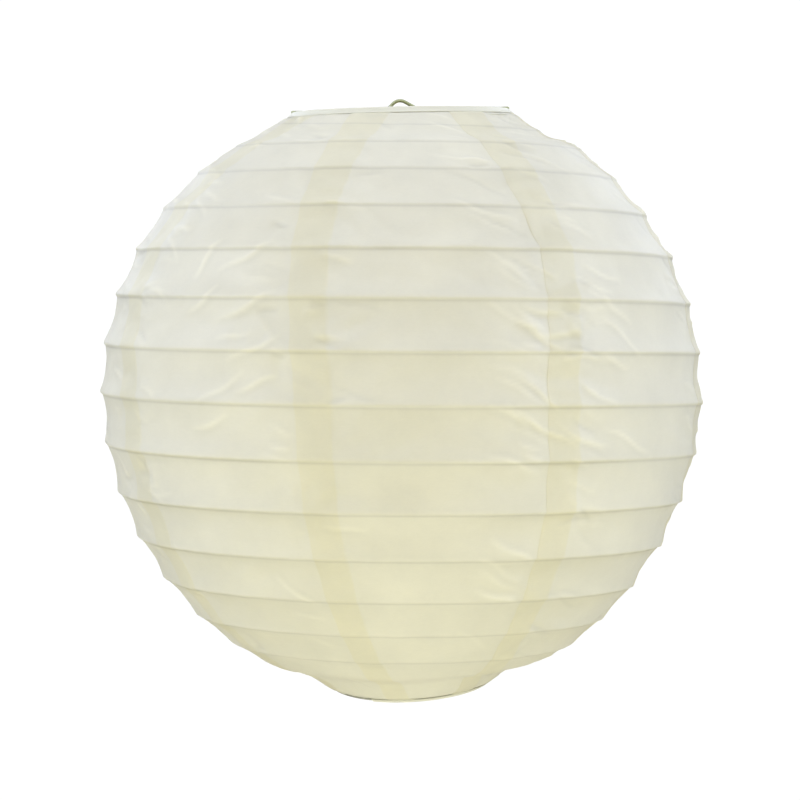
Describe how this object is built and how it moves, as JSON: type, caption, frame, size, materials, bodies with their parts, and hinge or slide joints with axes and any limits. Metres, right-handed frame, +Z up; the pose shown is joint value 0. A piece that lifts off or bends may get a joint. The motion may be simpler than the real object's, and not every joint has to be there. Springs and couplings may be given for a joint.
{
  "type": "paper lantern",
  "caption": "Round paper lantern with a spiral wire rib, open at both ends, held stretched by a sprung wire expander with a hanging loop; the shade folds flat.",
  "frame": {"origin": "where a hook bears, under the peak of the hanging loop, on the shade's axis", "axes": "+Z up along the shade's axis; the expander lies in the XZ plane, with the loop's steeper side towards -X; the front seen in the picture faces -Y"},
  "size_m": [0.2998, 0.2998, 0.2952],
  "materials": {
    "shade_paper": "matte, translucent, off-white",
    "binding_paper": "matte, off-white",
    "expander_wire": "dull plating with an olive cast",
    "rim_wire": "dull grey plating",
    "rib_wire": "dull grey plating"
  },
  "bodies": {
    "lantern": {"expander_top_bar": "expander_wire", "top_rim_wire": "rim_wire", "top_rim_binding": "binding_paper", "spiral_rib": "rib_wire", "paper_gore_1": "shade_paper", "paper_gore_2": "shade_paper", "paper_gore_3": "shade_paper", "paper_gore_4": "shade_paper", "paper_gore_5": "shade_paper", "paper_gore_6": "shade_paper", "paper_gore_7": "shade_paper", "paper_gore_8": "shade_paper"},
    "left_leg": {"expander_left_leg": "expander_wire"},
    "right_leg": {"expander_right_leg": "expander_wire"},
    "bottom_rim": {"bottom_rim_wire": "rim_wire", "bottom_rim_binding": "binding_paper"}
  },
  "joints": [
    {"name": "shade_collapse", "type": "slide", "parent": "lantern", "child": "bottom_rim", "axis": [0, 0, 1], "range_m": [0, 0.264], "deforming": ["paper_gore_1", "paper_gore_2", "paper_gore_3", "paper_gore_4", "paper_gore_5", "paper_gore_6", "paper_gore_7", "paper_gore_8", "spiral_rib"]},
    {"name": "left_leg_squeeze", "type": "hinge", "parent": "lantern", "child": "left_leg", "pos_m": [-0.0475, 0, -0.0049], "axis": [0, -1, 0], "range_deg": [0, 2.5], "stiffness_Nm_per_rad": 0.86},
    {"name": "right_leg_squeeze", "type": "hinge", "parent": "lantern", "child": "right_leg", "pos_m": [0.0475, 0, -0.0049], "axis": [0, 1, 0], "range_deg": [0, 2.5], "stiffness_Nm_per_rad": 0.86}
  ]
}
